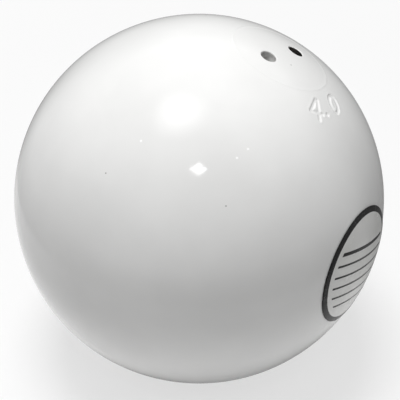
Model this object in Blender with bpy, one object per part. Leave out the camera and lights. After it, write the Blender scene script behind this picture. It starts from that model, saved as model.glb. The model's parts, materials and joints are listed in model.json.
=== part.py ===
# A four kilogram shot: an iron ball, bored and tapped, trimmed with lead behind a screwed plug.
# Metres, +Z up, origin at the ball's centre. The plug's axis leans from +Z towards +X.
# Heights along the plug's axis are measured from the ball's centre, depths from its surface.

from math import asin, atan2, ceil, cos, floor, hypot, pi, radians, sin, sqrt, tan, tau

import bmesh
import bpy
from mathutils import Matrix, Vector

# Ball
BALL_DIAMETER = 0.102
BALL_FACETS = 18
BALL_RADIUS = BALL_DIAMETER / 2

# Clearance between pieces that touch on the real object
GAP = 0.0003

# Plug: a head with the ball's own curve, and a threaded shank
PLUG_LEAN = radians(25.1)
HEAD_DIAMETER = 0.027
HEAD_DEPTH = 0.006
SHANK_LENGTH = 0.012
THREAD_DIAMETER = 0.024
THREAD_PITCH = 0.003
THREAD_HEIGHT = 0.0018
THREAD_CREST = 0.0003
THREAD_HALF_ANGLE = radians(30)
THREAD_RELIEF = 0.0015
NOSE_CHAMFER = 0.0012
TURN_FACETS = 32
HEAD_ARC_FACETS = 5
UNDERSIDE = BALL_RADIUS - HEAD_DEPTH
NOSE = UNDERSIDE - SHANK_LENGTH
ROOT_RADIUS = THREAD_DIAMETER / 2 - THREAD_HEIGHT

# Spanner holes in the plug's face
SPANNER_HOLE_DIAMETER = 0.0042
SPANNER_HOLE_SPACING = 0.0123
SPANNER_HOLE_DEPTH = 0.006
SPANNER_TURN = radians(47.6)
SPANNER_HOLE_FACETS = 20

# Bore in the ball: one drilled hole, tapped past the plug's nose and counterbored for its head
BORE_DEPTH = 0.0465
TAP_ALLOWANCE = 0.0025
DRILL_POINT_HALF_ANGLE = radians(59)
BORE_RADIUS = ROOT_RADIUS + GAP
BORE_END = BALL_RADIUS - BORE_DEPTH
COUNTERBORE_RADIUS = HEAD_DIAMETER / 2 + GAP
SHOULDER = UNDERSIDE - GAP

# Filling, from the plug down
FILL_RADIUS = BORE_RADIUS - GAP
WAD_THICKNESS = 0.008
DISC_THICKNESS = 0.002
DISC_COUNT = 3
EDGE_BREAK = 0.0005
WAD_TOP = NOSE - GAP
DISCS_TOP = WAD_TOP - WAD_THICKNESS - GAP
SLUG_TOP = DISCS_TOP - DISC_COUNT * (DISC_THICKNESS + GAP)

# Sticker, placed by longitude from +X and latitude from the equator
LABEL_DIAMETER = 0.0328
LABEL_THICKNESS = 0.0002
LABEL_GAP = 0.0001
LABEL_LONGITUDE = radians(-33.7)
LABEL_LATITUDE = radians(-2.0)
LABEL_FACETS = 40
LABEL_ARC_FACETS = 6

# Stamped weight mark: each figure is struck by itself, leaning from the line that they stand on
MARK_LONGITUDE = radians(-21.5)
MARK_LATITUDE = radians(47.6)
MARK_LINE_TURN = radians(-23.6)
FIGURE_TURN = radians(-50)
FIGURE_HEIGHT = 0.006
FIGURE_WIDTH = 0.0038
FIGURE_SPACING = 0.0082
STROKE_WIDTH = 0.0009
STROKE_DEPTH = 0.0005
FOUR_STEM = 0.0007
FOUR_BAR = 0.002
OVAL_FACETS = 16

# How far a cutter or a joined shape runs past the face that it must cross
OVERSHOOT = 0.002
THREAD_SINK = 0.00015

# Points closer than this are one point
WELD = 0.000001

# Edges that turn by more than this are shaded sharp
SMOOTH_ANGLE = radians(35)


def clear_scene():
    for obj in list(bpy.data.objects):
        bpy.data.objects.remove(obj, do_unlink=True)


def paint(name, colour, roughness, metallic=0.0):
    material = bpy.data.materials.new(name)
    material.use_nodes = True
    shader = material.node_tree.nodes["Principled BSDF"]
    shader.inputs["Base Color"].default_value = (*colour, 1.0)
    shader.inputs["Roughness"].default_value = roughness
    shader.inputs["Metallic"].default_value = metallic
    return material


def add_object(name, bm, parent, material=None):
    mesh = bpy.data.meshes.new(name)
    bm.to_mesh(mesh)
    bm.free()
    obj = bpy.data.objects.new(name, mesh)
    bpy.context.scene.collection.objects.link(obj)
    obj.parent = parent
    if material:
        mesh.materials.append(material)
    return obj


def add_empty(name, rotation):
    obj = bpy.data.objects.new(name, None)
    bpy.context.scene.collection.objects.link(obj)
    obj.rotation_euler = rotation.to_euler()
    return obj


def as_cutter(obj):
    obj.hide_render = True
    obj.display_type = "WIRE"
    return obj


def boolean(obj, operation, other):
    modifier = obj.modifiers.new(f"{operation.lower()}_{other.name}", "BOOLEAN")
    modifier.operation = operation
    modifier.object = other


def smooth(obj):
    # The cuts are made real first, so that their edges are found sharp too
    graph = bpy.context.evaluated_depsgraph_get()
    obj.data = bpy.data.meshes.new_from_object(obj.evaluated_get(graph))
    obj.modifiers.clear()
    obj.data.shade_smooth()
    obj.data.set_sharp_from_angle(angle=SMOOTH_ANGLE)


def outward(longitude, latitude, turn=0.0):
    # Z points out of the ball at this place, and Y points to its north, turned anticlockwise by turn
    to_place = Matrix.Rotation(longitude, 3, "Z") @ Matrix.Rotation(pi / 2 - latitude, 3, "Y")
    return to_place @ Matrix.Rotation(pi / 2 + turn, 3, "Z")


def turned(name, outline, parent, material=None, facets=TURN_FACETS):
    # outline is (radius, height) from the top of the axis, down the outer side, to its bottom
    bm = bmesh.new()
    points = [bm.verts.new((radius, 0, height)) for radius, height in outline]
    edges = [bm.edges.new(pair) for pair in zip(points, points[1:])]
    bmesh.ops.spin(bm, geom=points + edges, axis=(0, 0, 1), cent=(0, 0, 0), steps=facets, angle=tau)
    bmesh.ops.remove_doubles(bm, verts=bm.verts, dist=WELD)
    bmesh.ops.recalc_face_normals(bm, faces=bm.faces)
    return add_object(name, bm, parent, material)


def arc(radius, half_angle, facets):
    # (radius, height) points on the sphere of this radius, from its pole out to half_angle
    angles = [half_angle * i / facets for i in range(facets + 1)]
    return [(radius * sin(angle), radius * cos(angle)) for angle in angles]


def disc_outline(top, bottom, radius, edge):
    return [
        (0, top),
        (radius - edge, top),
        (radius, top - edge),
        (radius, bottom + edge),
        (radius - edge, bottom),
        (0, bottom),
    ]


def thread_ridge(name, low, high, clearance, parent):
    # One helical ridge in whole turns, whose phase is set at the head's underside on both threads
    crest_radius = THREAD_DIAMETER / 2 + clearance
    foot_radius = ROOT_RADIUS + clearance - THREAD_SINK
    slope = tan(THREAD_HALF_ANGLE)
    side_shift = clearance / cos(THREAD_HALF_ANGLE) - clearance * slope
    crest_half = THREAD_CREST / 2 + side_shift
    foot_half = crest_half + (crest_radius - foot_radius) * slope
    first = floor((low - UNDERSIDE) / THREAD_PITCH)
    last = ceil((high - UNDERSIDE) / THREAD_PITCH)
    section = [
        (foot_radius, -foot_half),
        (crest_radius, -crest_half),
        (crest_radius, crest_half),
        (foot_radius, foot_half),
    ]
    bm = bmesh.new()
    rings = []
    for step in range((last - first) * TURN_FACETS + 1):
        angle = tau * step / TURN_FACETS
        climb = UNDERSIDE + THREAD_PITCH * (first + step / TURN_FACETS)
        rings.append([bm.verts.new((r * cos(angle), r * sin(angle), climb + z)) for r, z in section])
    for ring, following in zip(rings, rings[1:]):
        for i in range(4):
            j = (i + 1) % 4
            bm.faces.new((ring[i], following[i], following[j], ring[j]))
    bm.faces.new(rings[0])
    bm.faces.new(reversed(rings[-1]))
    bmesh.ops.recalc_face_normals(bm, faces=bm.faces)
    return as_cutter(add_object(name, bm, parent))


def ball_blank(parent, material):
    # A cube split evenly by angle and rounded, so its facets are nearly equal
    bm = bmesh.new()
    bmesh.ops.create_cube(bm, size=2)
    bmesh.ops.subdivide_edges(bm, edges=bm.edges[:], cuts=BALL_FACETS - 1, use_grid_fill=True)
    for vert in bm.verts:
        vert.co = BALL_RADIUS * Vector([tan(c * pi / 4) for c in vert.co]).normalized()
    return add_object("ball_body", bm, parent, material)


def bore_cutter(plug_axis):
    lead_in = THREAD_HEIGHT + GAP
    point = BORE_RADIUS / tan(DRILL_POINT_HALF_ANGLE)
    outline = [
        (0, BALL_RADIUS + OVERSHOOT),
        (COUNTERBORE_RADIUS, BALL_RADIUS + OVERSHOOT),
        (COUNTERBORE_RADIUS, SHOULDER),
        (BORE_RADIUS + lead_in, SHOULDER),
        (BORE_RADIUS, SHOULDER - lead_in * tan(THREAD_HALF_ANGLE)),
        (BORE_RADIUS, BORE_END),
        (0, BORE_END - point),
    ]
    return as_cutter(turned("bore_cutter", outline, plug_axis))


def figure_four():
    # Outline and counter, with the inner edge of the diagonal one stroke from its outer edge
    half, edge = FIGURE_WIDTH / 2, STROKE_WIDTH / 2
    stem, bar = FOUR_STEM, FOUR_BAR
    left, right = stem - edge, stem + edge
    run, rise = left + half, FIGURE_HEIGHT - bar - edge
    diagonal = hypot(run, rise)
    outline = [
        (left, 0),
        (right, 0),
        (right, bar - edge),
        (half, bar - edge),
        (half, bar + edge),
        (right, bar + edge),
        (right, FIGURE_HEIGHT),
        (left, FIGURE_HEIGHT),
        (-half, bar + edge),
        (-half, bar - edge),
        (left, bar - edge),
    ]
    counter = [
        (left, bar + edge),
        (left, FIGURE_HEIGHT - STROKE_WIDTH * diagonal / run),
        (STROKE_WIDTH * diagonal / rise - half, bar + edge),
    ]
    return [outline, counter]


def figure_zero():
    def oval(inset):
        width, height = FIGURE_WIDTH / 2 - inset, FIGURE_HEIGHT / 2 - inset
        angles = [tau * i / OVAL_FACETS for i in range(OVAL_FACETS)]
        return [(width * cos(a), FIGURE_HEIGHT / 2 + height * sin(a)) for a in angles]

    return [oval(0), oval(STROKE_WIDTH)]


def figure_point():
    edge = STROKE_WIDTH / 2
    return [[(-edge, 0), (edge, 0), (edge, STROKE_WIDTH), (-edge, STROKE_WIDTH)]]


def figure_cutter(name, outlines, line_place):
    # A flat-floored punch mark whose figure stands at line_place from the middle of the mark's line
    curve = bpy.data.curves.new(name, "CURVE")
    curve.dimensions = "2D"
    curve.fill_mode = "BOTH"
    curve.extrude = (STROKE_DEPTH + OVERSHOOT) / 2
    for outline in outlines:
        spline = curve.splines.new("POLY")
        spline.points.add(len(outline) - 1)
        spline.use_cyclic_u = True
        for point, (x, y) in zip(spline.points, outline):
            point.co = (x, y - FIGURE_HEIGHT / 2, 0, 1)
    drawn = bpy.data.objects.new(name, curve)
    line = outward(MARK_LONGITUDE, MARK_LATITUDE, MARK_LINE_TURN)
    place = line @ Vector((line_place, 0, BALL_RADIUS)).normalized()
    seat = add_empty(name + "_seat", outward(atan2(place.y, place.x), asin(place.z), FIGURE_TURN))
    bm = bmesh.new()
    bm.from_mesh(drawn.to_mesh())
    bpy.data.objects.remove(drawn)
    bmesh.ops.remove_doubles(bm, verts=bm.verts, dist=WELD)
    bmesh.ops.recalc_face_normals(bm, faces=bm.faces)
    cutter = add_object(name, bm, seat)
    cutter.location = (0, 0, BALL_RADIUS - STROKE_DEPTH + curve.extrude)
    return as_cutter(cutter)


def make_ball(plug_axis, material):
    body = ball_blank(None, material)
    boolean(body, "DIFFERENCE", bore_cutter(plug_axis))
    tap_low = NOSE - TAP_ALLOWANCE
    boolean(body, "DIFFERENCE", thread_ridge("tap_cutter", tap_low, SHOULDER, GAP, plug_axis))
    figures = (
        ("four_cutter", figure_four(), -FIGURE_SPACING / 2),
        ("point_cutter", figure_point(), 0),
        ("zero_cutter", figure_zero(), FIGURE_SPACING / 2),
    )
    for name, outlines, place in figures:
        boolean(body, "DIFFERENCE", figure_cutter(name, outlines, place))
    smooth(body)


def make_plug(plug_axis, material):
    head_radius = HEAD_DIAMETER / 2
    outline = arc(BALL_RADIUS, asin(head_radius / BALL_RADIUS), HEAD_ARC_FACETS)
    outline += [
        (head_radius, UNDERSIDE),
        (ROOT_RADIUS, UNDERSIDE),
        (ROOT_RADIUS, NOSE + NOSE_CHAMFER),
        (ROOT_RADIUS - NOSE_CHAMFER, NOSE),
        (0, NOSE),
    ]
    plug = turned("threaded_plug", outline, plug_axis, material)
    thread = thread_ridge("plug_thread", NOSE, UNDERSIDE, 0, plug_axis)
    # Sloping ends for the thread, from inside the shank's core out past the crest
    inner, outer = ROOT_RADIUS - OVERSHOOT, THREAD_DIAMETER / 2 + OVERSHOOT
    inner_rise = OVERSHOOT * tan(THREAD_HALF_ANGLE)
    outer_drop = (outer - ROOT_RADIUS) * tan(THREAD_HALF_ANGLE)
    top, low = UNDERSIDE - THREAD_RELIEF, NOSE + THREAD_RELIEF
    trim_outline = [
        (0, top + inner_rise),
        (inner, top + inner_rise),
        (outer, top - outer_drop),
        (outer, low + outer_drop),
        (inner, low - inner_rise),
        (0, low - inner_rise),
    ]
    boolean(thread, "INTERSECT", as_cutter(turned("thread_trim", trim_outline, plug_axis)))
    for number, side in ((1, -1), (2, 1)):
        boolean(plug, "DIFFERENCE", spanner_hole(number, side, plug_axis))
    boolean(plug, "UNION", thread)
    smooth(plug)


def spanner_hole(number, side, plug_axis):
    reach = side * SPANNER_HOLE_SPACING / 2
    face = sqrt(BALL_RADIUS**2 - reach**2)
    radius = SPANNER_HOLE_DIAMETER / 2
    top, floor_height = face + OVERSHOOT, face - SPANNER_HOLE_DEPTH
    outline = [(0, top), (radius, top), (radius, floor_height), (0, floor_height)]
    cutter = turned(f"spanner_hole_{number}", outline, plug_axis, facets=SPANNER_HOLE_FACETS)
    cutter.location = (reach * cos(SPANNER_TURN), reach * sin(SPANNER_TURN), 0)
    return as_cutter(cutter)


def make_filling(plug_axis, lead, rubber):
    wad = disc_outline(WAD_TOP, WAD_TOP - WAD_THICKNESS, FILL_RADIUS, EDGE_BREAK)
    smooth(turned("packing_wad", wad, plug_axis, rubber))
    for i in range(DISC_COUNT):
        top = DISCS_TOP - i * (DISC_THICKNESS + GAP)
        disc = disc_outline(top, top - DISC_THICKNESS, FILL_RADIUS, EDGE_BREAK)
        smooth(turned(f"trim_disc_{i + 1}", disc, plug_axis, lead))
    point = FILL_RADIUS / tan(DRILL_POINT_HALF_ANGLE)
    slug = [
        (0, SLUG_TOP),
        (FILL_RADIUS - EDGE_BREAK, SLUG_TOP),
        (FILL_RADIUS, SLUG_TOP - EDGE_BREAK),
        (FILL_RADIUS, BORE_END),
        (0, BORE_END - point),
    ]
    smooth(turned("lead_slug", slug, plug_axis, lead))


def make_label(material):
    inner = BALL_RADIUS + LABEL_GAP
    outer = inner + LABEL_THICKNESS
    half_angle = asin(LABEL_DIAMETER / 2 / outer)
    outline = arc(outer, half_angle, LABEL_ARC_FACETS)
    outline += reversed(arc(inner, half_angle, LABEL_ARC_FACETS))
    seat = add_empty("label_seat", outward(LABEL_LONGITUDE, LABEL_LATITUDE))
    smooth(turned("label_disc", outline, seat, material, LABEL_FACETS))


def main():
    clear_scene()
    enamel = paint("white_enamel", (0.86, 0.86, 0.85), 0.18)
    lead = paint("cast_lead", (0.30, 0.31, 0.33), 0.55, 1.0)
    rubber = paint("black_rubber", (0.03, 0.03, 0.03), 0.75)
    vinyl = paint("white_vinyl", (0.80, 0.80, 0.80), 0.35)
    plug_axis = add_empty("plug_axis", Matrix.Rotation(PLUG_LEAN, 3, "Y"))
    make_ball(plug_axis, enamel)
    make_plug(plug_axis, enamel)
    make_filling(plug_axis, lead, rubber)
    make_label(vinyl)


main()
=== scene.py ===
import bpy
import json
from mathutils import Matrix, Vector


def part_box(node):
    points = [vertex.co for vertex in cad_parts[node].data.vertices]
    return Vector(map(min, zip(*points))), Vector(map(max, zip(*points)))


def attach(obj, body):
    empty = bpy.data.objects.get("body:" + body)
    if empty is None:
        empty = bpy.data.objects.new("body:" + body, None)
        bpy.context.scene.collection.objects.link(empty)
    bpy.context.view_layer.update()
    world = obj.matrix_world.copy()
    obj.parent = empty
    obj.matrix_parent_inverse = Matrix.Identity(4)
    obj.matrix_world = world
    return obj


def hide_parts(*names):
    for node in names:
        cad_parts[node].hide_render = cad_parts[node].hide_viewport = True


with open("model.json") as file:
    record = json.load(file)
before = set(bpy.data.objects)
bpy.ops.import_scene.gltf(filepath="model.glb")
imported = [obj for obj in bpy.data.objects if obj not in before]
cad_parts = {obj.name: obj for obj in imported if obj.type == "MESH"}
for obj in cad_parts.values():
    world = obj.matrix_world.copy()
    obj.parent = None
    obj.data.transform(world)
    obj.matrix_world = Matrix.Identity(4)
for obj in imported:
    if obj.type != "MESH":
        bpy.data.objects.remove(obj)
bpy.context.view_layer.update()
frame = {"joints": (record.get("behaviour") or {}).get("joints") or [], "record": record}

# The looks of a four kilogram shot: an iron ball in gloss white enamel, trimmed behind a screwed plug.
# Metres, +Z up, origin at the ball's centre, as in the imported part.
import json
from math import asin, atan2, ceil, cos, floor, hypot, pi, radians, sin, sqrt, tan, tau

import bmesh
import bpy
from mathutils import Matrix, Vector, noise

mm = 0.001
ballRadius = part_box("ball_body")[1].z
plugTurn = next(joint for joint in frame["joints"] if joint["name"] == "plug_turn")
plugAxis = Vector(plugTurn["axis"])
lean = Matrix.Rotation(atan2(plugAxis.x, plugAxis.z), 4, "Y")  # from upright to the plug's place in the ball
overshoot = 2 * mm  # what a cutter runs past the piece
hair = 0.001 * mm  # points closer than this are one


def deselectAll():
    if bpy.context.object and bpy.context.object.mode != "OBJECT":
        bpy.ops.object.mode_set(mode="OBJECT")
    bpy.ops.object.select_all(action="DESELECT")


def takeUp(obj):
    deselectAll()
    obj.select_set(True)
    bpy.context.view_layer.objects.active = obj


def named(name):
    obj = bpy.context.object
    obj.name = obj.data.name = name
    return obj


def edit(obj, level="FACE"):
    takeUp(obj)
    bpy.ops.object.mode_set(mode="EDIT")
    bpy.ops.mesh.select_mode(type=level)
    bpy.ops.mesh.select_all(action="DESELECT")


def doneEditing():
    bpy.ops.object.mode_set(mode="OBJECT")


def pick(obj, kind, test):
    # in edit mode: selects the verts, edges or faces that pass the test
    mesh = bmesh.from_edit_mesh(obj.data)
    for item in getattr(mesh, kind):
        item.select_set(test(item))
    mesh.select_flush_mode()
    bmesh.update_edit_mesh(obj.data)


def applyAll(obj):
    takeUp(obj)
    for modifier in list(obj.modifiers):
        bpy.ops.object.modifier_apply(modifier=modifier.name)


def settle(obj, matrix):
    # the piece's place goes into its mesh, and its object stays at the origin
    takeUp(obj)
    obj.matrix_world = matrix
    bpy.ops.object.transform_apply(location=True, rotation=True, scale=True)


def pullProfile(start, points):
    # in edit mode, with one level ring selected: pulls it through (radius, height) points, and closes it
    # at radius 0
    radius, height = start
    for nextRadius, nextHeight in points:
        bpy.ops.mesh.extrude_region_move(TRANSFORM_OT_translate={"value": (0, 0, nextHeight - height)})
        if nextRadius == 0:
            bpy.ops.mesh.merge(type="CENTER")
        elif nextRadius != radius:
            step = nextRadius / radius
            bpy.ops.transform.resize(value=(step, step, 1), center_override=(0, 0, 0))
        radius, height = nextRadius, nextHeight


def turnOutwards():
    bpy.ops.mesh.select_all(action="SELECT")
    bpy.ops.mesh.normals_make_consistent(inside=False)
    doneEditing()


def turnedPiece(name, points, segments):
    # a ring pulled both ways through a profile that starts and ends on the axis
    first = points[1]
    deselectAll()
    bpy.ops.mesh.primitive_circle_add(vertices=segments, radius=first[0], location=(0, 0, first[1]))
    obj = named(name)
    bpy.ops.object.transform_apply(location=True)
    edit(obj, "EDGE")
    bpy.ops.mesh.select_all(action="SELECT")
    pullProfile(first, points[2:])
    pick(obj, "edges", lambda edge: edge.is_boundary)
    pullProfile(first, points[:1])
    turnOutwards()
    return obj


def cut(obj, cutter, operation="DIFFERENCE"):
    modifier = obj.modifiers.new("cut", "BOOLEAN")
    modifier.operation = operation
    modifier.object = cutter
    modifier.solver = "EXACT"
    applyAll(obj)
    bpy.data.objects.remove(cutter)
    edit(obj, "VERT")
    bpy.ops.mesh.select_all(action="SELECT")
    bpy.ops.mesh.remove_doubles(threshold=hair)
    bpy.ops.mesh.select_all(action="SELECT")
    bpy.ops.mesh.dissolve_degenerate(threshold=hair)
    doneEditing()


def arc(centre, radius, start, end, steps):
    # (radius, height) points round a centre in the profile's plane
    angles = [start + (end - start) * i / steps for i in range(steps + 1)]
    return [(centre[0] + radius * cos(a), centre[1] + radius * sin(a)) for a in angles]


def outward(longitude, latitude, turn=0.0):
    # Z points out of the ball at this place, and Y points to its north, turned anticlockwise by turn
    toPlace = Matrix.Rotation(longitude, 3, "Z") @ Matrix.Rotation(pi / 2 - latitude, 3, "Y")
    return toPlace @ Matrix.Rotation(pi / 2 + turn, 3, "Z")


def levelOf(radius, away):
    # height of a sphere's surface at a distance from its axis
    return sqrt(radius * radius - away * away)


def toLinear(colour):
    parts = [int(colour[i : i + 2], 16) / 255 for i in (1, 3, 5)]
    return (*[c / 12.92 if c <= 0.04045 else ((c + 0.055) / 1.055) ** 2.4 for c in parts], 1)


def liveOutput(source):
    # a node stands for its first live output
    if isinstance(source, bpy.types.Node):
        return next(output for output in source.outputs if output.enabled)
    return source


def addNode(tree, kind, inputs=None, **settings):
    # each input is a value, or the node or socket that feeds it
    node = tree.nodes.new("ShaderNode" + kind)
    for name, value in settings.items():
        setattr(node, name, value)
    for name, value in (inputs or {}).items():
        live = [socket for socket in node.inputs if socket.enabled and socket.name == name]
        socket = live[0] if live else node.inputs[name]
        source = liveOutput(value)
        if isinstance(source, bpy.types.NodeSocket):
            tree.links.new(source, socket)
        else:
            socket.default_value = source
    return node


def newMaterial(name, **uniform):
    # a material with its even values on the shader itself, and the piece's own coordinates
    material = bpy.data.materials.new(name)
    material.use_nodes = True
    tree = material.node_tree
    for socket, value in uniform.items():
        tree.nodes["Principled BSDF"].inputs[socket].default_value = value
    return material, tree, addNode(tree, "TexCoord").outputs["Object"]


def feed(tree, sources):
    # joins what was built to the shader's sockets
    for socket, source in sources.items():
        tree.links.new(liveOutput(source), tree.nodes["Principled BSDF"].inputs[socket])


enamel = {
    "coat": "#ebebea",
    "thinner": "#e5e5e4",
    "primer": "#807e7c",
    # painted glint: the white of the dust nibs, which stands in for the lamp caught on them
    "rubbedAndGlint": "#ffffff",
    "cloudSize": 24 * mm,
    "handledSize": 9 * mm,
    "gloss": (0.045, 0.10),  # roughness where it is clean, and where hands have dulled it
    "waveSize": 16 * mm,
    "waveDepth": 0.03 * mm,
    "peelSize": 2.2 * mm,  # real orange peel is finer, and wouldn't show
    "peelDepth": 0.004 * mm,
    "chipSize": 0.25 * mm,
    "chipRoughness": 0.6,
    "chips": [(-124.1, 37.9), (-81.4, 33.2), (-11.2, 62.1), (100, 20), (171, -12)],  # longitude, latitude
    "nibSize": 0.42 * mm,
    "nibHeight": 0.012 * mm,
    "glintingNibs": [(-114.8, 49.2), (-70.1, 47.6), (-75.3, 45.7), (60, 35), (140, 50)],
    "spotCore": 0.35,  # share of a spot's size that is even, before it fades
}


def spotsAt(tree, place, spots, size):
    # 1 at the given places on the ball, and 0 a size away from them
    whole = 0.0
    for longitude, latitude in spots:
        middle = ballRadius * outward(radians(longitude), radians(latitude)).col[2]
        away = addNode(tree, "VectorMath", {0: place, 1: middle}, operation="DISTANCE")
        fade = {"From Min": size * enamel["spotCore"], "From Max": size, "To Min": 1.0, "To Max": 0.0}
        spot = addNode(tree, "MapRange", {"Value": away, **fade}, interpolation_type="SMOOTHSTEP")
        whole = addNode(tree, "Math", {0: whole, 1: spot}, operation="MAXIMUM")
    return whole


def makeEnamel():
    # alkyd gloss enamel, sprayed over primed iron: an even white with a sharp shine on a faint orange peel,
    # dulled a little by hands, with small chips down to the primer and dust nibs, which are a real low bump
    # with a whiter white on them that is a painted glint
    material, tree, place = newMaterial("glossEnamel", IOR=1.5)
    clouds = addNode(tree, "TexNoise", {"Vector": place, "Scale": 1 / enamel["cloudSize"], "Detail": 3})
    cloudy = addNode(tree, "MapRange", {"Value": clouds, "From Min": 0.35, "From Max": 0.65})
    chips = spotsAt(tree, place, enamel["chips"], enamel["chipSize"])
    glintingNibs = spotsAt(tree, place, enamel["glintingNibs"], enamel["nibSize"])
    coat = toLinear(enamel["coat"])
    # the nibs' whiter white over the coat is a painted glint
    for share, shade in ((cloudy, "thinner"), (chips, "primer"), (glintingNibs, "rubbedAndGlint")):
        layer = {"Factor": share, "A": coat, "B": toLinear(enamel[shade])}
        coat = addNode(tree, "Mix", layer, data_type="RGBA")

    clean, dulled = enamel["gloss"]
    hands = addNode(tree, "TexNoise", {"Vector": place, "Scale": 1 / enamel["handledSize"], "Detail": 4})
    limits = {"Value": hands, "From Min": 0.3, "From Max": 0.75, "To Min": clean, "To Max": dulled}
    handled = addNode(tree, "MapRange", limits, interpolation_type="SMOOTHSTEP")
    chipped = {0: chips, 1: enamel["chipRoughness"], 2: handled}
    rough = addNode(tree, "Math", chipped, operation="MULTIPLY_ADD")

    wave = addNode(tree, "TexNoise", {"Vector": place, "Scale": 1 / enamel["waveSize"], "Detail": 1})
    peel = addNode(tree, "TexNoise", {"Vector": place, "Scale": 1 / enamel["peelSize"], "Detail": 2})
    normal = addNode(tree, "Bump", {"Height": wave, "Distance": enamel["waveDepth"]})
    normal = addNode(tree, "Bump", {"Height": peel, "Distance": enamel["peelDepth"], "Normal": normal})
    normal = addNode(tree, "Bump", {"Height": glintingNibs, "Distance": enamel["nibHeight"], "Normal": normal})
    feed(tree, {"Base Color": coat, "Roughness": rough, "Normal": normal})
    return material


thinAndShadedCoat = {
    # partly painted shade: the film is greyer than the coat, to darken the inside of the hole
    "film": "#cdcdcc",
    "bare": "#a8a7a5",
    "patchSize": 1.2 * mm,
    "patchDepth": 0.03 * mm,
    "gloss": (0.3, 0.5),  # roughness of the film, and where it hardly covers
}


def makeThinAndShadedEnamel():
    # the same enamel where the spray barely reached: a film, half dull, over the drilled wall, whose grey
    # is partly painted shade for the inside of the hole
    material, tree, place = newMaterial("thinEnamel", IOR=1.5)
    patches = addNode(tree, "TexNoise", {"Vector": place, "Scale": 1 / thinAndShadedCoat["patchSize"], "Detail": 4})
    bare = addNode(tree, "MapRange", {"Value": patches, "From Min": 0.4, "From Max": 0.7})
    shades = {"Factor": bare, "A": toLinear(thinAndShadedCoat["film"]), "B": toLinear(thinAndShadedCoat["bare"])}
    colour = addNode(tree, "Mix", shades, data_type="RGBA")
    glossy, dull = thinAndShadedCoat["gloss"]
    rough = addNode(tree, "MapRange", {"Value": bare, "To Min": glossy, "To Max": dull})
    normal = addNode(tree, "Bump", {"Height": patches, "Distance": thinAndShadedCoat["patchDepth"]})
    feed(tree, {"Base Color": colour, "Roughness": rough, "Normal": normal})
    return material


cutMetal = {
    "turnedSteel": {"bright": "#a09f9b", "dark": "#807e7a", "stain": "#6a6259", "roughness": 0.3},
    "boredIron": {"bright": "#4b4846", "dark": "#302d2b", "stain": "#3f2f25", "roughness": 0.45},
    "feed": 0.7 * mm,  # real rings are 0.2 to 0.4 mm apart, and wouldn't show
    "ringDepth": 0.014 * mm,
    "ringWander": 0.6,
    "patchSize": 3.5 * mm,
    "patchRoughness": 0.18,  # added to the metal's own
    "stainSize": 1.6 * mm,
    "stainRoughness": 0.2,
    "grainSize": 0.7 * mm,
    "grainDepth": 0.01 * mm,
}


def makeCutMetal(name):
    # steel turned on a lathe, or iron drilled and bored: rings at the tool's feed round the plug's axis,
    # brighter and greyer patches, and brown stain that dulls it
    kind = cutMetal[name]
    material, tree, place = newMaterial(name, Metallic=1.0)
    upright = addNode(tree, "Mapping", {"Vector": place, "Rotation": lean.inverted().to_euler()})
    waveScale = pi / 10 / cutMetal["feed"]  # this texture's own wave is a tenth of pi long
    waves = {"Vector": upright, "Scale": waveScale, "Distortion": cutMetal["ringWander"], "Detail": 1.0}
    rings = addNode(tree, "TexWave", waves, bands_direction="Z").outputs["Fac"]
    patchy = addNode(tree, "TexNoise", {"Vector": place, "Scale": 1 / cutMetal["patchSize"], "Detail": 4})
    patches = addNode(tree, "MapRange", {"Value": patchy, "From Min": 0.42, "From Max": 0.62})
    spotty = addNode(tree, "TexNoise", {"Vector": place, "Scale": 1 / cutMetal["stainSize"], "Detail": 5})
    stains = addNode(tree, "MapRange", {"Value": spotty, "From Min": 0.58, "From Max": 0.7})
    colour, rough = toLinear(kind["bright"]), kind["roughness"]
    for share, shade, added in ((patches, "dark", "patchRoughness"), (stains, "stain", "stainRoughness")):
        layer = {"Factor": share, "A": colour, "B": toLinear(kind[shade])}
        colour = addNode(tree, "Mix", layer, data_type="RGBA")
        rough = addNode(tree, "Math", {0: share, 1: cutMetal[added], 2: rough}, operation="MULTIPLY_ADD")
    grain = addNode(tree, "TexNoise", {"Vector": place, "Scale": 1 / cutMetal["grainSize"], "Detail": 3})
    normal = addNode(tree, "Bump", {"Height": rings, "Distance": cutMetal["ringDepth"]})
    normal = addNode(tree, "Bump", {"Height": grain, "Distance": cutMetal["grainDepth"], "Normal": normal})
    feed(tree, {"Base Color": colour, "Roughness": rough, "Normal": normal})
    return material


lead = {
    "fresh": "#83868a",
    "tarnish": "#5f6267",
    "oxide": "#96989b",
    "tarnishSize": 4 * mm,
    "oxideSize": 1.5 * mm,
    "dentSize": 2.5 * mm,
    "dentDepth": 0.12 * mm,
    "dragSize": 2 * mm,
    "dragStretch": 7,  # scratches are this much longer than they are wide
    "dragDepth": 0.02 * mm,
    "roughness": (0.48, 0.66),
}


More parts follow.
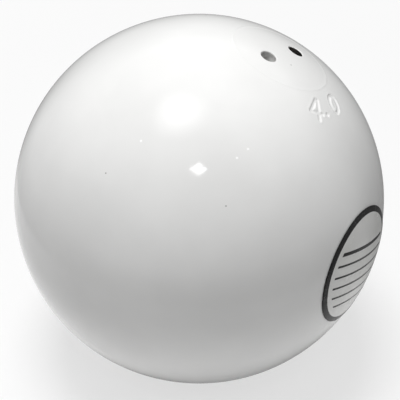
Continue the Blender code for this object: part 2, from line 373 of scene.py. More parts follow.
def makeLead():
    # soft lead, cast for the slug and rolled for the discs: dull blue grey with pale oxide, dents and
    # scratches
    material, tree, place = newMaterial("softLead", Metallic=1.0)
    cloudy = addNode(tree, "TexNoise", {"Vector": place, "Scale": 1 / lead["tarnishSize"], "Detail": 5})
    tarnish = addNode(tree, "MapRange", {"Value": cloudy, "From Min": 0.35, "From Max": 0.65})
    powdery = addNode(tree, "TexNoise", {"Vector": place, "Scale": 1 / lead["oxideSize"], "Detail": 6})
    oxide = addNode(tree, "MapRange", {"Value": powdery, "From Min": 0.56, "From Max": 0.72})
    colour = toLinear(lead["fresh"])
    for share, shade in ((tarnish, "tarnish"), (oxide, "oxide")):
        layer = {"Factor": share, "A": colour, "B": toLinear(lead[shade])}
        colour = addNode(tree, "Mix", layer, data_type="RGBA")
    smoother, rougher = lead["roughness"]
    rough = addNode(tree, "MapRange", {"Value": tarnish, "To Min": smoother, "To Max": rougher})
    dents = addNode(tree, "TexNoise", {"Vector": place, "Scale": 1 / lead["dentSize"], "Detail": 3})
    dragged = addNode(tree, "Mapping", {"Vector": place, "Scale": (1, lead["dragStretch"], 1)})
    scratches = addNode(tree, "TexNoise", {"Vector": dragged, "Scale": 1 / lead["dragSize"], "Detail": 3})
    normal = addNode(tree, "Bump", {"Height": dents, "Distance": lead["dentDepth"]})
    normal = addNode(tree, "Bump", {"Height": scratches, "Distance": lead["dragDepth"], "Normal": normal})
    feed(tree, {"Base Color": colour, "Roughness": rough, "Normal": normal})
    return material


rubber = {
    "black": "#1b1b1c",
    "bloom": "#38383a",
    "bloomSize": 5 * mm,
    "grainSize": 0.35 * mm,
    "grainDepth": 0.03 * mm,
    "roughness": (0.72, 0.9),
}


def makeRubber():
    # moulded black rubber: matt, with a grey bloom and the mould's fine grain
    material, tree, place = newMaterial("mouldedRubber", IOR=1.52)
    cloudy = addNode(tree, "TexNoise", {"Vector": place, "Scale": 1 / rubber["bloomSize"], "Detail": 4})
    bloom = addNode(tree, "MapRange", {"Value": cloudy, "From Min": 0.45, "From Max": 0.75})
    blacks = {"Factor": bloom, "A": toLinear(rubber["black"]), "B": toLinear(rubber["bloom"])}
    colour = addNode(tree, "Mix", blacks, data_type="RGBA")
    smoother, rougher = rubber["roughness"]
    rough = addNode(tree, "MapRange", {"Value": bloom, "To Min": smoother, "To Max": rougher})
    grain = addNode(tree, "TexNoise", {"Vector": place, "Scale": 1 / rubber["grainSize"], "Detail": 3})
    normal = addNode(tree, "Bump", {"Height": grain, "Distance": rubber["grainDepth"]})
    feed(tree, {"Base Color": colour, "Roughness": rough, "Normal": normal})
    return material


glossEnamel = makeEnamel()
thinEnamel = makeThinAndShadedEnamel()
boredIron = makeCutMetal("boredIron")
turnedSteel = makeCutMetal("turnedSteel")
softLead = makeLead()
mouldedRubber = makeRubber()
print("materials mixed")

skin = {
    "segments": 192,  # round the plug's axis
    "rings": 180,  # from the plug to the far side
    "deep": 0.6 * mm,  # below this the bore's metal is bare
    "seam": 0.002 * mm,  # enamel closes the plug's joint at the surface
    "sharp": radians(35),  # bends past this keep a crisp edge
    "tolerance": 0.002 * mm,  # how near the sphere a point of the skin lies
}


def fineSphere(name, radius):
    deselectAll()
    bpy.ops.mesh.primitive_uv_sphere_add(segments=skin["segments"], ring_count=skin["rings"], radius=radius)
    return named(name)


def cutLevel(obj, radius, rim, keepAbove):
    # cuts the sphere square to its axis where it is as wide as the rim, and leaves that ring selected
    height = levelOf(radius, rim)
    edit(obj, "EDGE")
    bpy.ops.mesh.select_all(action="SELECT")
    bpy.ops.mesh.bisect(
        plane_co=(0, 0, height), plane_no=(0, 0, 1), clear_inner=keepAbove, clear_outer=not keepAbove
    )
    pick(obj, "edges", lambda edge: edge.is_boundary)
    ring = [vert for vert in bmesh.from_edit_mesh(obj.data).verts if vert.select]
    step = rim * len(ring) / sum(hypot(vert.co.x, vert.co.y) for vert in ring)
    bpy.ops.transform.resize(value=(step, step, 1), center_override=(0, 0, 0))
    return height


def shadeAsSphere(obj):
    # the skin takes its shading from a true sphere, so that no facet or cut shows in the gloss
    gauge = fineSphere("roundnessGauge", ballRadius)
    bpy.ops.object.shade_smooth()
    group = obj.vertex_groups.new(name="skin")
    depths = [abs(vert.co.length - ballRadius) for vert in obj.data.vertices]
    group.add([i for i, depth in enumerate(depths) if depth < skin["tolerance"]], 1.0, "REPLACE")
    modifier = obj.modifiers.new("trueNormals", "DATA_TRANSFER")
    modifier.object = gauge
    modifier.use_loop_data = True
    modifier.data_types_loops = {"CUSTOM_NORMAL"}
    modifier.loop_mapping = "POLYINTERP_NEAREST"
    modifier.vertex_group = group.name
    applyAll(obj)
    bpy.data.objects.remove(gauge)


def paint(obj, materials, rule):
    for material in materials:
        obj.data.materials.append(material)
    for face in obj.data.polygons:
        face.material_index = materials.index(rule(face.center))


thread = {
    "diameter": 24 * mm,
    "pitch": 3 * mm,
    "height": 1.8 * mm,
    "crest": 0.3 * mm,
    "halfAngle": radians(30),
    "relief": 1.5 * mm,  # bare shank at either end
    "sunk": 0.15 * mm,  # how far a ridge's foot reaches into the shank
    "segments": 96,
}
rootRadius = thread["diameter"] / 2 - thread["height"]


def threadRidge(name, low, high, clearance):
    # one helical ridge in whole turns, whose phase is set at the head's underside on both threads
    crestRadius = thread["diameter"] / 2 + clearance
    footRadius = rootRadius + clearance - thread["sunk"]
    slope = tan(thread["halfAngle"])
    crest = thread["crest"] + 2 * clearance * (1 / cos(thread["halfAngle"]) - slope)
    foot = crest + 2 * (crestRadius - footRadius) * slope
    first = floor((low - underside) / thread["pitch"])
    middle = ((crestRadius + footRadius) / 2, 0, underside + thread["pitch"] * first)
    deselectAll()
    bpy.ops.mesh.primitive_plane_add(size=1, location=middle, rotation=(pi / 2, 0, 0))
    ridge = named(name)
    bpy.ops.object.transform_apply(location=True, rotation=True)
    edit(ridge, "VERT")
    bpy.ops.mesh.select_all(action="SELECT")
    bpy.ops.transform.resize(value=(crestRadius - footRadius, 1, foot), center_override=middle)
    pick(ridge, "verts", lambda vert: vert.co.x > middle[0])
    bpy.ops.transform.resize(value=(1, 1, crest / foot), center_override=middle)
    bpy.ops.mesh.select_all(action="SELECT")
    bpy.ops.mesh.delete(type="ONLY_FACE")
    doneEditing()
    screw = ridge.modifiers.new("screw", "SCREW")
    screw.screw_offset = thread["pitch"]
    screw.iterations = ceil((high - underside) / thread["pitch"]) - first
    screw.steps = screw.render_steps = thread["segments"]
    applyAll(ridge)
    edit(ridge, "VERT")
    bpy.ops.mesh.select_all(action="SELECT")
    bpy.ops.mesh.remove_doubles(threshold=hair)
    bpy.ops.mesh.select_all(action="SELECT")
    bpy.ops.mesh.fill_holes(sides=4)
    turnOutwards()
    return ridge


head = {
    "diameter": 27 * mm,
    "depth": 6 * mm,
    "shank": 12 * mm,
    "edge": 0.3 * mm,
    "corner": 0.4 * mm,
    "noseChamfer": 1.2 * mm,
    "centreMark": 1.4 * mm,  # left by the lathe's centre in the nose
}
bore = {
    "gap": 0.3 * mm,
    "depth": 46.5 * mm,
    "corner": 0.4 * mm,
    "tapAllowance": 2.5 * mm,  # how far the thread goes on below the plug
    "drillPoint": radians(59),
    "film": 0.2 * mm,  # thickness of the enamel that bridges the joint
}
underside = ballRadius - head["depth"]
nose = underside - head["shank"]
headRadius = head["diameter"] / 2
boreRadius = rootRadius + bore["gap"]
boreEnd = ballRadius - bore["depth"]

mark = {
    "longitude": radians(-21.5),
    "latitude": radians(47.6),
    "lineTurn": radians(-23.6),
    "figureTurn": radians(-50),
    "height": 6 * mm,
    "width": 3.8 * mm,
    "spacing": 8.2 * mm,
    "stroke": 0.9 * mm,
    "stem": 0.7 * mm,  # the four's upright, right of its middle
    "bar": 2 * mm,  # and its bar, above the foot
    "depth": 0.22 * mm,
    "softEdge": 0.45 * mm,
    "lip": 0.03 * mm,
    "cuts": 5,  # how finely the skin is divided round it
    "fineReach": (0.62, 0.72),  # how far that goes past the figures, in their heights
    "ovalSteps": 48,
}


def struckFigures():
    # (strokes, seat) of each figure of 4.0: the seat's Z points out of the ball and its Y up the figure
    half, edge = mark["width"] / 2, mark["stroke"] / 2
    stem, bar, top = mark["stem"], mark["bar"], mark["height"]
    four = [((stem, 0), (stem, top)), ((stem - edge, top), (-half, bar)), ((-half, bar), (half, bar))]
    turns = [tau * i / mark["ovalSteps"] for i in range(mark["ovalSteps"] + 1)]
    oval = [((half - edge) * cos(a), top / 2 + (top / 2 - edge) * sin(a)) for a in turns]
    point = [((0, edge), (0, edge * 1.1))]
    line = outward(mark["longitude"], mark["latitude"], mark["lineTurn"])
    for strokes, place in ((four, -0.5), (point, 0.0), (list(zip(oval, oval[1:])), 0.5)):
        at = line @ Vector((place * mark["spacing"], 0, ballRadius)).normalized()
        yield strokes, outward(atan2(at.y, at.x), asin(at.z), mark["figureTurn"])


def toStroke(x, y, strokes):
    # distance to the nearest of the figure's strokes
    nearest = 1.0
    for (ax, ay), (bx, by) in strokes:
        along = ((x - ax) * (bx - ax) + (y - ay) * (by - ay)) / ((bx - ax) ** 2 + (by - ay) ** 2)
        along = min(max(along, 0), 1)
        nearest = min(nearest, hypot(x - ax - along * (bx - ax), y - ay - along * (by - ay)))
    return nearest


def strikeMark(obj):
    # the punch's grooves, softened by the enamel that flowed into them, with a low lip round them
    soft, reach = mark["softEdge"], mark["height"]
    for strokes, seat in struckFigures():
        toSeat = seat.transposed()
        for vert in obj.data.vertices:
            at = toSeat @ vert.co
            if at.z < 0 or abs(at.x) > reach or abs(at.y) > reach:
                continue
            gap = toStroke(at.x, at.y + mark["height"] / 2, strokes) - mark["stroke"] / 2
            share = min(max(0.5 - gap / soft, 0), 1)
            sunk = mark["depth"] * share * share * (3 - 2 * share)
            raised = mark["lip"] * max(0, 1 - abs(gap - soft) / soft)
            vert.co *= 1 + (raised - sunk) / ballRadius


def divideForMark(ball):
    # finer faces where the mark goes, drawn back out to the true sphere
    line = outward(mark["longitude"], mark["latitude"], mark["lineTurn"])
    toMark = (lean.to_3x3().transposed() @ line).transposed()
    reachX, reachY = (mark["height"] * share for share in mark["fineReach"])
    reachX += mark["spacing"] / 2

    def nearMark(face):
        at = toMark @ face.calc_center_median()
        return at.z > 0 and abs(at.x) < reachX and abs(at.y) < reachY

    edit(ball)
    pick(ball, "faces", nearMark)
    bpy.ops.mesh.subdivide(number_cuts=mark["cuts"], quadcorner="INNERVERT")
    doneEditing()
    cast = ball.modifiers.new("round", "CAST")
    cast.cast_type = "SPHERE"
    cast.factor = 1
    cast.size = ballRadius
    cast.use_radius_as_size = False
    applyAll(ball)


def makeBall():
    ball = fineSphere("ironBall", ballRadius)
    divideForMark(ball)
    mouth = headRadius + skin["seam"]
    counterbore = headRadius + bore["gap"]
    shoulder = underside - bore["gap"]
    leadIn = thread["height"] + bore["gap"]
    corner = bore["corner"]
    height = cutLevel(ball, ballRadius, mouth, keepAbove=False)
    film = height - bore["film"]
    profile = [
        (mouth, film),
        (counterbore, film - bore["gap"]),
        *arc((counterbore - corner, shoulder + corner), corner, 0, -pi / 2, 4),
        (boreRadius + leadIn, shoulder),
        (boreRadius, shoulder - leadIn * tan(thread["halfAngle"])),
        (boreRadius, boreEnd),
        (0, boreEnd - boreRadius / tan(bore["drillPoint"])),
    ]
    pullProfile((mouth, height), profile)
    turnOutwards()
    cut(ball, threadRidge("tap", nose - bore["tapAllowance"], shoulder, bore["gap"]))
    paint(
        ball,
        [glossEnamel, boredIron],
        lambda centre: boredIron if centre.length < ballRadius - skin["deep"] else glossEnamel,
    )
    settle(ball, lean)
    strikeMark(ball)
    print("ball modelled", len(ball.data.polygons))
    return ball


spannerHole = {
    "radius": 2.1 * mm,
    "rim": 0.3 * mm,  # the soft lip that enamel leaves
    "corner": 0.3 * mm,
    "slack": 0.02 * mm,  # how far off the wall one of its faces may lie
    "filmBelow": 0.1 * mm,  # how far the gloss reaches past the lip
    "segments": 64,
}


def spannerBit(at):
    # the drill that sinks one blind hole, with a small radius round its floor
    radius, corner, top = spannerHole["radius"], spannerHole["corner"], ballRadius + overshoot
    wall = arc((radius - corner, at.z + corner), corner, -pi / 2, 0, 4)
    bit = turnedPiece("spannerBit", [(0, at.z), *wall, (radius, top), (0, top)], spannerHole["segments"])
    settle(bit, Matrix.Translation((at.x, at.y, 0)))
    return bit


def rimBit(at):
    # rounds the hole's lip, square to the ball's surface there
    radius, rim, top = spannerHole["radius"], spannerHole["rim"], ballRadius + overshoot
    level = levelOf(ballRadius, radius + rim)
    lip = arc((radius + rim, level - rim), rim, pi, pi / 2, 6)
    profile = [(0, level - rim), *lip, (radius + rim, top), (0, top)]
    bit = turnedPiece("rimBit", profile, spannerHole["segments"])
    surface = Vector((at.x, at.y, levelOf(ballRadius, hypot(at.x, at.y))))
    settle(bit, surface.to_track_quat("Z", "Y").to_matrix().to_4x4())
    return bit


def plugThread():
    # the ridge, trimmed to a slope at either end
    ridge = threadRidge("plugThread", nose, underside, 0)
    slope = tan(thread["halfAngle"])
    inner, outer = rootRadius - overshoot, thread["diameter"] / 2 + overshoot
    top, low = underside - thread["relief"], nose + thread["relief"]
    rise, drop = overshoot * slope, (outer - rootRadius) * slope
    below = [(0, low - rise), (inner, low - rise), (outer, low + drop)]
    above = [(outer, top - drop), (inner, top + rise), (0, top + rise)]
    cut(ridge, turnedPiece("threadTrim", below + above, thread["segments"]), "INTERSECT")
    return ridge


def makePlug():
    plug = fineSphere("screwPlug", ballRadius)
    height = cutLevel(plug, ballRadius, headRadius, keepAbove=True)
    edge, corner, chamfer = head["edge"], head["corner"], head["noseChamfer"]
    profile = [
        (headRadius, underside + edge),
        (headRadius - edge, underside),
        *arc((rootRadius + corner, underside - corner), corner, pi / 2, pi, 4),
        (rootRadius, nose + chamfer),
        (rootRadius - chamfer, nose),
        (head["centreMark"], nose),
        (0, nose + head["centreMark"]),
    ]
    pullProfile((headRadius, height), profile)
    turnOutwards()
    mounts = frame["record"]["mounts"]
    holes = [lean.inverted() @ Vector(m["pos_m"]) for m in mounts if m["name"].startswith("spanner_floor")]
    for at in holes:
        cut(plug, spannerBit(at))
        cut(plug, rimBit(at))
    cut(plug, plugThread(), "UNION")
    barest = max(holes, key=lambda at: at.x)  # the spray missed this one
    onTop = ballRadius - spannerHole["rim"]

    def finishOf(centre):
        for at in holes:
            away = hypot(centre.x - at.x, centre.y - at.y)
            if away < spannerHole["radius"] + spannerHole["slack"] and centre.length < onTop:
                # the other hole takes the grey film, which is partly painted shade
                return boredIron if at is barest else thinEnamel
        coated = centre.length > onTop - spannerHole["filmBelow"] and centre.z > underside + edge
        return glossEnamel if coated else turnedSteel

    paint(plug, [glossEnamel, thinEnamel, turnedSteel, boredIron], finishOf)
    settle(plug, lean)
    print("plug modelled", len(plug.data.polygons))
    return plug


def dent(obj, dents, seed):
    # small hollows all over, always into the piece
    depth, size = dents
    shift = Vector((seed, seed, seed))
    for vert in obj.data.vertices:
        vert.co -= vert.normal * depth * (0.5 + 0.5 * noise.noise(vert.co / size + shift))


wad = {
    "height": 8 * mm,
    "edge": 0.7 * mm,
    "waist": 0.25 * mm,
    "waistFrom": 0.35,  # share of the height at either end that is above or below it
    "dish": 0.5 * mm,  # pressed into its top by the plug's nose
    "dishSteps": [(0.8, 0), (0.72, 0.25), (0.45, 0.9), (0, 1)],  # shares of the radius and of the dish
    "recess": 0.3 * mm,
    "recessRim": (0.66, 0.7),  # shares of the radius
    "dents": (0.06 * mm, 3 * mm),  # depth and size
    "seed": 1,
    "segments": 96,
}
fitRadius = boreRadius - bore["gap"]
wadTop = nose - bore["gap"]
wadFoot = wadTop - wad["height"]


def makeWad():
    edge, end = wad["edge"], wad["height"] * wad["waistFrom"]
    recessWall, recessLip = wad["recessRim"]
    profile = [
        (0, wadFoot + wad["recess"]),
        (fitRadius * recessWall, wadFoot + wad["recess"]),
        (fitRadius * recessLip, wadFoot),
        *arc((fitRadius - edge, wadFoot + edge), edge, -pi / 2, 0, 5),
        (fitRadius - wad["waist"], wadFoot + end),
        (fitRadius - wad["waist"], wadTop - end),
        *arc((fitRadius - edge, wadTop - edge), edge, 0, pi / 2, 5),
        *[(fitRadius * out, wadTop - wad["dish"] * down) for out, down in wad["dishSteps"]],
    ]
    rubberWad = turnedPiece("rubberWad", profile, wad["segments"])
    dent(rubberWad, wad["dents"], wad["seed"])
    rubberWad.data.materials.append(mouldedRubber)
    settle(rubberWad, lean)
    return rubberWad


trim = {
    "discs": 3,
    "thickness": 2 * mm,
    "edge": 0.45 * mm,  # drawn down by the punch
    "burr": 0.12 * mm,  # and left sharp below
    "wall": 0.9 * mm,
    "bow": [(0.5, 0.04 * mm), (0.9, 0.02 * mm)],  # shares of the radius, and height over the foot
    "dish": [(0.85, 0.06 * mm), (0.5, 0.1 * mm), (0.12, 0.12 * mm), (0, 0.45 * mm)],  # depth under the top
    "turn": 2.1,  # radians from one disc to the next, so that their dents don't line up
    "dents": (0.09 * mm, 2.4 * mm),  # depth and size
    "seed": 7,  # of the first disc
    "segments": 96,
}
discsTop = wadFoot - bore["gap"]
discStep = trim["thickness"] + bore["gap"]


def makeDiscs():
    top, foot, edge, burr = discsTop, discsTop - trim["thickness"], trim["edge"], trim["burr"]
    profile = [
        (0, foot),
        *[(fitRadius * out, foot + up) for out, up in trim["bow"]],
        (fitRadius - burr, foot),
        (fitRadius, foot + burr),
        (fitRadius, foot + trim["wall"]),
        *arc((fitRadius - edge, top - edge), edge, 0, pi / 2, 5),
        *[(fitRadius * out, top - down) for out, down in trim["dish"]],
    ]
    discs = [turnedPiece("leadDisc1", profile, trim["segments"])]
    for number in range(2, trim["discs"] + 1):
        takeUp(discs[0])
        bpy.ops.object.duplicate()
        discs.append(named(f"leadDisc{number}"))
        lower = Matrix.Translation((0, 0, -discStep * (number - 1)))
        settle(discs[-1], Matrix.Rotation(trim["turn"] * number, 4, "Z") @ lower)
    for seed, disc in enumerate(discs, trim["seed"]):
        dent(disc, trim["dents"], seed)
        disc.data.materials.append(softLead)
        settle(disc, lean)
    return discs


casting = {
    "edge": 0.8 * mm,
    "corner": 0.25 * mm,
    "cornerDrop": 0.1 * mm,
    "tip": [(0, 0.15 * mm), (0.8 * mm, 0.35 * mm)],  # radius, and height over the drill's point
    "slope": 0.55,  # share of the radius at a ring half way up the point
    "sink": 1.2 * mm,  # where it shrank as it cooled
    "sinkSteps": [(0.7, 0.2), (0.4, 0.6), (0.15, 0.92), (0, 1)],  # shares of the radius and of the sink
    "dents": (0.12 * mm, 3 * mm),  # depth and size
    "seed": 3,
    "segments": 96,
}


def makeSlug():
    # cast in the drilled end of the bore, so it takes the drill's point
    top, edge, corner = discsTop - trim["discs"] * discStep, casting["edge"], casting["corner"]
    steep = tan(bore["drillPoint"])
    tip = boreEnd - fitRadius / steep
    profile = [
        *[(out, tip + up) for out, up in casting["tip"]],
        (fitRadius * casting["slope"], boreEnd - fitRadius * (1 - casting["slope"]) / steep),
        (fitRadius - corner, boreEnd - casting["cornerDrop"]),
        (fitRadius, boreEnd + corner),
        (fitRadius, (boreEnd + top) / 2),
        *arc((fitRadius - edge, top - edge), edge, 0, pi / 2, 5),
        *[(fitRadius * out, top - casting["sink"] * down) for out, down in casting["sinkSteps"]],
    ]
    slug = turnedPiece("leadSlug", profile, casting["segments"])
    dent(slug, casting["dents"], casting["seed"])
    slug.data.materials.append(softLead)
    settle(slug, lean)
    return slug


label = {
    "longitude": radians(-33.7),
    "latitude": radians(-2),
    "turn": radians(-17),
    "radius": 16.4 * mm,
    "level": 0.3 * mm,  # height of its face over the ball
    "thickness": 0.26 * mm,
    "edge": 0.06 * mm,
    "border": 1.6 * mm,
    "lines": 6,
    "spacing": 3.15 * mm,
    "topLine": 6.3 * mm,
    "lineWeight": 0.62 * mm,
    "headWeight": 1.0 * mm,
    "inset": 1.5 * mm,  # of the lines' ends from the border
    "softness": 0.05 * mm,
    "pleats": [(200, 0.10 * mm), (262, 0.07 * mm), (318, 0.09 * mm), (75, 0.06 * mm)],  # degrees, lift
    "pleatWidth": radians(3.2),
    "pleatReach": 0.28,  # share of the radius, in from the rim
    "vinyl": "#e6e6e4",
    "aged": "#dededb",
    "agedSize": 8 * mm,
    "ink": "#0e0e0f",
    "inkShine": 0.15,
    "filmShine": 0.5,
    "inkVoids": 0.5 * mm,
    "gloss": (0.18, 0.28),  # roughness of its smooth and its rubbed places
    "unevenSize": 5 * mm,
    "unevenDepth": 0.05 * mm,
    "grainSize": 0.6 * mm,
    "grainDepth": 0.002 * mm,
}
labelSeat = outward(label["longitude"], label["latitude"], label["turn"])


def makeVinyl():
    # printed gloss vinyl: a black border and ruled lines to write on, with the film's soft unevenness
    material, tree, place = newMaterial("printedVinyl", IOR=1.46)
    flat = addNode(tree, "Mapping", {"Vector": place, "Rotation": labelSeat.transposed().to_euler()})
    face = addNode(tree, "VectorMath", {0: flat, 1: (1, 1, 0)}, operation="MULTIPLY")
    away = addNode(tree, "VectorMath", {0: face}, operation="LENGTH")
    height = addNode(tree, "SeparateXYZ", {0: face}).outputs["Y"]
    soft, pitch, inner = label["softness"], label["spacing"], label["radius"] - label["border"]
    ring = addNode(tree, "MapRange", {"Value": away, "From Min": inner - soft, "From Max": inner + soft})

    fromTop = addNode(tree, "Math", {0: height, 1: label["topLine"]}, operation="SUBTRACT")
    offLine = addNode(tree, "Math", {0: fromTop, 1: pitch / 2, 2: -pitch / 2}, operation="WRAP")
    offLine = addNode(tree, "Math", {0: offLine}, operation="ABSOLUTE")
    isHead = addNode(tree, "Math", {0: fromTop, 1: -pitch / 2}, operation="GREATER_THAN")
    heavier, half = (label["headWeight"] - label["lineWeight"]) / 2, label["lineWeight"] / 2
    weight = addNode(tree, "Math", {0: isHead, 1: heavier, 2: half}, operation="MULTIPLY_ADD")
    inside = addNode(tree, "Math", {0: weight, 1: offLine}, operation="SUBTRACT")
    line = addNode(tree, "MapRange", {"Value": inside, "From Min": -soft, "From Max": soft})
    belowTop = addNode(tree, "Math", {0: fromTop, 1: pitch / 2}, operation="LESS_THAN")
    last = -pitch * (label["lines"] - 0.5)
    aboveLast = addNode(tree, "Math", {0: fromTop, 1: last}, operation="GREATER_THAN")
    end = inner - label["inset"]
    short = {"Value": away, "From Min": end - soft, "From Max": end + soft, "To Min": 1.0, "To Max": 0.0}
    rows = addNode(tree, "Math", {0: belowTop, 1: aboveLast}, operation="MULTIPLY")
    rows = addNode(tree, "Math", {0: rows, 1: addNode(tree, "MapRange", short)}, operation="MULTIPLY")
    lines = addNode(tree, "Math", {0: line, 1: rows}, operation="MULTIPLY")
    inked = addNode(tree, "Math", {0: ring, 1: lines}, operation="MAXIMUM")

    specks = addNode(tree, "TexNoise", {"Vector": place, "Scale": 1 / label["inkVoids"], "Detail": 3})
    limits = {"Value": specks, "From Min": 0.25, "From Max": 0.4, "To Min": 0.9, "To Max": 1.0}
    solid = addNode(tree, "MapRange", limits)  # small voids in the ink
    inked = addNode(tree, "Math", {0: inked, 1: solid}, operation="MULTIPLY")
    clouds = addNode(tree, "TexNoise", {"Vector": place, "Scale": 1 / label["agedSize"], "Detail": 3})
    aged = addNode(tree, "MapRange", {"Value": clouds, "From Min": 0.4, "From Max": 0.7})
    colour = toLinear(label["vinyl"])
    for share, shade in ((aged, "aged"), (inked, "ink")):
        layer = {"Factor": share, "A": colour, "B": toLinear(label[shade])}
        colour = addNode(tree, "Mix", layer, data_type="RGBA")

    uneven = addNode(tree, "TexNoise", {"Vector": place, "Scale": 1 / label["unevenSize"], "Detail": 2})
    smooth, rubbedAndGlint = label["gloss"]
    limits = {"Value": uneven, "From Min": 0.3, "From Max": 0.7, "To Min": smooth, "To Max": rubbedAndGlint}
    rough = addNode(tree, "MapRange", limits)
    normal = addNode(tree, "Bump", {"Height": uneven, "Distance": label["unevenDepth"]})
    grain = addNode(tree, "TexNoise", {"Vector": place, "Scale": 1 / label["grainSize"], "Detail": 2})
    normal = addNode(tree, "Bump", {"Height": grain, "Distance": label["grainDepth"], "Normal": normal})
    shines = {"Value": inked, "To Min": label["filmShine"], "To Max": label["inkShine"]}
    shine = addNode(tree, "MapRange", shines)
    feed(tree, {"Base Color": colour, "Roughness": rough, "Specular IOR Level": shine, "Normal": normal})
    return material


def makeLabel():
    # a disc of film that follows the ball, with small pleats where it wouldn't lie flat
    level, reach = ballRadius + label["level"], label["pleatReach"]
    sticker = fineSphere("labelSticker", level)
    cutLevel(sticker, level, label["radius"], keepAbove=True)
    doneEditing()
    for vert in sticker.data.vertices:
        nearRim = max(0, (hypot(vert.co.x, vert.co.y) / label["radius"] - 1 + reach) / reach)
        around = atan2(vert.co.y, vert.co.x)
        for degrees, lift in label["pleats"]:
            off = ((around - radians(degrees) + pi) % tau - pi) / label["pleatWidth"]
            vert.co *= 1 + lift * max(0, 1 - off * off) ** 2 * nearRim**2 / level
    wall = sticker.modifiers.new("wall", "SOLIDIFY")
    wall.thickness = label["thickness"]
    wall.offset = -1
    bevel = sticker.modifiers.new("edge", "BEVEL")
    bevel.width = label["edge"]
    bevel.segments = 2
    bevel.angle_limit = radians(50)
    applyAll(sticker)
    sticker.data.materials.append(makeVinyl())
    settle(sticker, labelSeat.to_4x4())
    print("label modelled", len(sticker.data.polygons))
    return sticker


def finishPiece(obj, body, node):
    takeUp(obj)
    bpy.ops.object.shade_smooth_by_angle(angle=skin["sharp"])
    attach(obj, body)
    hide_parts(node)


ironBall = makeBall()
finishPiece(ironBall, "ball", "ball_body")
shadeAsSphere(ironBall)
screwPlug = makePlug()
finishPiece(screwPlug, "plug", "threaded_plug")
shadeAsSphere(screwPlug)
finishPiece(makeWad(), "wad", "packing_wad")
for number, disc in enumerate(makeDiscs(), 1):
    finishPiece(disc, "ball", f"trim_disc_{number}")
finishPiece(makeSlug(), "ball", "lead_slug")
print("filling modelled")
finishPiece(makeLabel(), "ball", "label_disc")

photo = {
    "size": 400,  # pixels a side
    "ballCentre": (199.1, 198.6),  # of the ball's outline, from the top left
    "elevation": radians(35.5),
    "distance": 0.340,
    "halfView": 0.1641,  # tangent of half the angle of view
}
studio = {
    "sheetColour": "#e6e6e6",
    "tableColour": "#505050",  # beyond the sheet, as bounced light meets it
    "tableSize": 8,
    "sheetRadius": 0.135,
    "sheetEdge": 0.008,
    "nearGlow": 0.62,  # share of plain white in the floor near the ball, and how far out it becomes whole
    "glowFrom": 0.16,
    "glowTo": 0.45,
    "worldLight": 0.385,
    "cardGrey": "#8a8a8a",
    "card": [(0.008, -0.0505), (0.10, -0.0505), (1.35, 0.95)],  # its profile, as radius and height
    "cardSegments": 96,
    "cardFade": (0.0, 0.8),  # heights between which it thins out
    "cardSide": (0.35, 0.94, 0),  # towards its darkest part
    "cardFrom": 0.2,
    "cardTo": 0.6,
    # the painted shadow under the ball: its middle, and how far out it fades
    "mirroredShadowCentre": (0.006, 0, -0.0505),
    "mirroredShadowFrom": 0.030,
    "mirroredShadowTo": 0.048,
    "keySize": 0.5,
    "keyPlace": (-0.12, 0.02, 1.3),
    "keyPower": 12.0,
    "glowSize": 0.62,
    "glowPlace": (-0.175, -0.075, 0.90),
    "glowPower": 3.85,
    "frontSize": 0.125,
    "frontPlace": (-0.008, -0.622, 0.80),
    "frontPower": 0.50,
}


def seenDirectly(tree):
    # 1 for what the camera sees, straight, mirrored or through glass
    path = addNode(tree, "LightPath").outputs
    seen = path["Is Camera Ray"]
    for way in ("Is Glossy Ray", "Is Transmission Ray"):
        seen = addNode(tree, "Math", {0: seen, 1: path[way]}, operation="MAXIMUM")
    return seen


def stageMaterial(obj, name):
    # an empty material for a piece of the set
    material = bpy.data.materials.new(name)
    material.use_nodes = True
    tree = material.node_tree
    tree.nodes.clear()
    obj.data.materials.append(material)
    return tree, addNode(tree, "TexCoord").outputs["Object"]


def makeWorld():
    # soft light from all round, and plain white where it is seen
    world = bpy.data.worlds.new("studio")
    bpy.context.scene.world = world
    world.use_nodes = True
    tree = world.node_tree
    tree.nodes.clear()
    light = addNode(tree, "Background", {"Color": (1, 1, 1, 1), "Strength": studio["worldLight"]})
    white = addNode(tree, "Background", {"Color": (1, 1, 1, 1), "Strength": 1.0})
    both = addNode(tree, "MixShader", {0: seenDirectly(tree), 1: light, 2: white})
    addNode(tree, "OutputWorld", {"Surface": both})


def makeFloor():
    # a white sheet, whose surroundings look white too but bounce little light up at the ball
    deselectAll()
    bpy.ops.mesh.primitive_plane_add(size=studio["tableSize"], location=(0, 0, -ballRadius))
    tree, place = stageMaterial(named("floorSheet"), "whitePaper")
    away = addNode(tree, "VectorMath", {0: place}, operation="LENGTH")
    edge = {"From Min": studio["sheetRadius"], "From Max": studio["sheetRadius"] + studio["sheetEdge"]}
    onSheet = addNode(tree, "MapRange", {"Value": away, **edge, "To Min": 1.0, "To Max": 0.0})
    toCamera = addNode(tree, "LightPath").outputs["Is Camera Ray"]
    pale = addNode(tree, "Math", {0: onSheet, 1: toCamera}, operation="MAXIMUM")
    shades = {"Factor": pale, "A": toLinear(studio["tableColour"]), "B": toLinear(studio["sheetColour"])}
    paper = addNode(tree, "BsdfDiffuse", {"Color": addNode(tree, "Mix", shades, data_type="RGBA")})
    glow = addNode(tree, "Emission", {"Color": (1, 1, 1, 1), "Strength": 1.0})
    reach = {"From Min": studio["glowFrom"], "From Max": studio["glowTo"], "To Min": studio["nearGlow"]}
    share = addNode(tree, "MapRange", {"Value": away, **reach}, interpolation_type="SMOOTHSTEP")
    share = addNode(tree, "Math", {0: share, 1: seenDirectly(tree)}, operation="MULTIPLY")
    both = addNode(tree, "MixShader", {0: share, 1: paper, 2: glow})
    addNode(tree, "OutputMaterial", {"Surface": both})


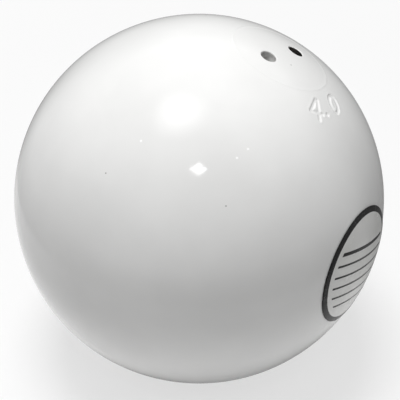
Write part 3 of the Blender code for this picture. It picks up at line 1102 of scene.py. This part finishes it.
def makeCard():
    # a dish of grey card behind the ball and under it, which only reflections meet: it draws the thin dark
    # line at the ball's edge, as a photographer's card does; its patch right under the ball is a painted
    # shadow that the ball's lower edge mirrors
    (radius, height), *rest = studio["card"]
    deselectAll()
    bpy.ops.mesh.primitive_circle_add(
        vertices=studio["cardSegments"], radius=radius, location=(0, 0, height)
    )
    card = named("edgeCard")
    bpy.ops.object.transform_apply(location=True)
    edit(card, "EDGE")
    bpy.ops.mesh.select_all(action="SELECT")
    pullProfile((radius, height), rest)
    doneEditing()
    tree, place = stageMaterial(card, "greyCard")
    direction = addNode(tree, "VectorMath", {0: place}, operation="NORMALIZE")
    aside = addNode(tree, "VectorMath", {0: direction, 1: studio["cardSide"]}, operation="DOT_PRODUCT")
    limits = {"Value": aside, "From Min": studio["cardFrom"], "From Max": studio["cardTo"]}
    behind = addNode(tree, "MapRange", limits, interpolation_type="SMOOTHSTEP")
    level = addNode(tree, "SeparateXYZ", {0: place}).outputs["Z"]
    low, high = studio["cardFade"]
    fade = {"Value": level, "From Min": low, "From Max": high, "To Min": 1.0, "To Max": 0.0}
    lowDown = addNode(tree, "MapRange", fade, interpolation_type="SMOOTHSTEP")
    behind = addNode(tree, "Math", {0: behind, 1: lowDown}, operation="MULTIPLY")
    # painted shadow: the card's patch under the ball, where the floor's own shadow is washed out by its glow
    away = addNode(tree, "VectorMath", {0: place, 1: studio["mirroredShadowCentre"]}, operation="DISTANCE")
    reach = {"From Min": studio["mirroredShadowFrom"], "From Max": studio["mirroredShadowTo"], "To Min": 1.0, "To Max": 0.0}
    mirroredShadow = addNode(tree, "MapRange", {"Value": away, **reach}, interpolation_type="SMOOTHSTEP")
    share = addNode(tree, "Math", {0: behind, 1: mirroredShadow}, operation="MAXIMUM")
    grey = addNode(tree, "Emission", {"Color": toLinear(studio["cardGrey"]), "Strength": 1.0})
    both = addNode(tree, "MixShader", {0: share, 1: addNode(tree, "BsdfTransparent"), 2: grey})
    addNode(tree, "OutputMaterial", {"Surface": both})
    card.visible_camera = card.visible_diffuse = card.visible_shadow = False


def addLamp(name, turn=0.0):
    # a square lamp that faces straight down
    deselectAll()
    bpy.ops.object.light_add(type="AREA", location=studio[name + "Place"], rotation=(0, 0, turn))
    lamp = named(name + "Lamp")
    lamp.data.shape = "SQUARE"
    lamp.data.size = studio[name + "Size"]
    lamp.data.energy = studio[name + "Power"]
    lamp.visible_camera = False
    return lamp


def softenLamp(lamp):
    # full in the middle and nothing at the rim, so that its reflection has no edge: the lamp's own
    # coordinates run from 0 to 1 across it
    lamp.data.shape = "DISK"
    lamp.data.use_nodes = True
    tree = lamp.data.node_tree
    across = addNode(tree, "NewGeometry").outputs["Parametric"]
    fromMiddle = addNode(tree, "VectorMath", {0: across, 1: (0.5, 0.5, 0)}, operation="SUBTRACT")
    fromMiddle = addNode(tree, "VectorMath", {0: fromMiddle, 1: (1, 1, 0)}, operation="MULTIPLY")
    away = addNode(tree, "VectorMath", {0: fromMiddle}, operation="LENGTH")
    reach = {"Value": away, "From Min": 0.0, "From Max": 0.5, "To Min": 1.0, "To Max": 0.0}
    fall = addNode(tree, "MapRange", reach, interpolation_type="SMOOTHSTEP")
    tree.links.new(fall.outputs[0], tree.nodes["Emission"].inputs["Strength"])


def addCamera():
    deselectAll()
    bpy.ops.object.camera_add()
    camera = named("camera")
    elevation, middle = photo["elevation"], photo["size"] / 2
    camera.location = photo["distance"] * Vector((0, -cos(elevation), sin(elevation)))
    camera.rotation_euler = (pi / 2 - elevation, 0, 0)
    camera.data.lens = camera.data.sensor_width / 2 / photo["halfView"]
    camera.data.shift_x = (middle - photo["ballCentre"][0]) / photo["size"]
    camera.data.shift_y = (photo["ballCentre"][1] - middle) / photo["size"]
    bpy.context.scene.camera = camera


makeWorld()
makeFloor()
makeCard()
addLamp("key").visible_glossy = False  # it shapes the ball, and the other two draw its highlights
softenLamp(addLamp("glow"))
addLamp("front", pi / 4)
addCamera()
bpy.context.scene.view_settings.view_transform = "Standard"
print("studio set")
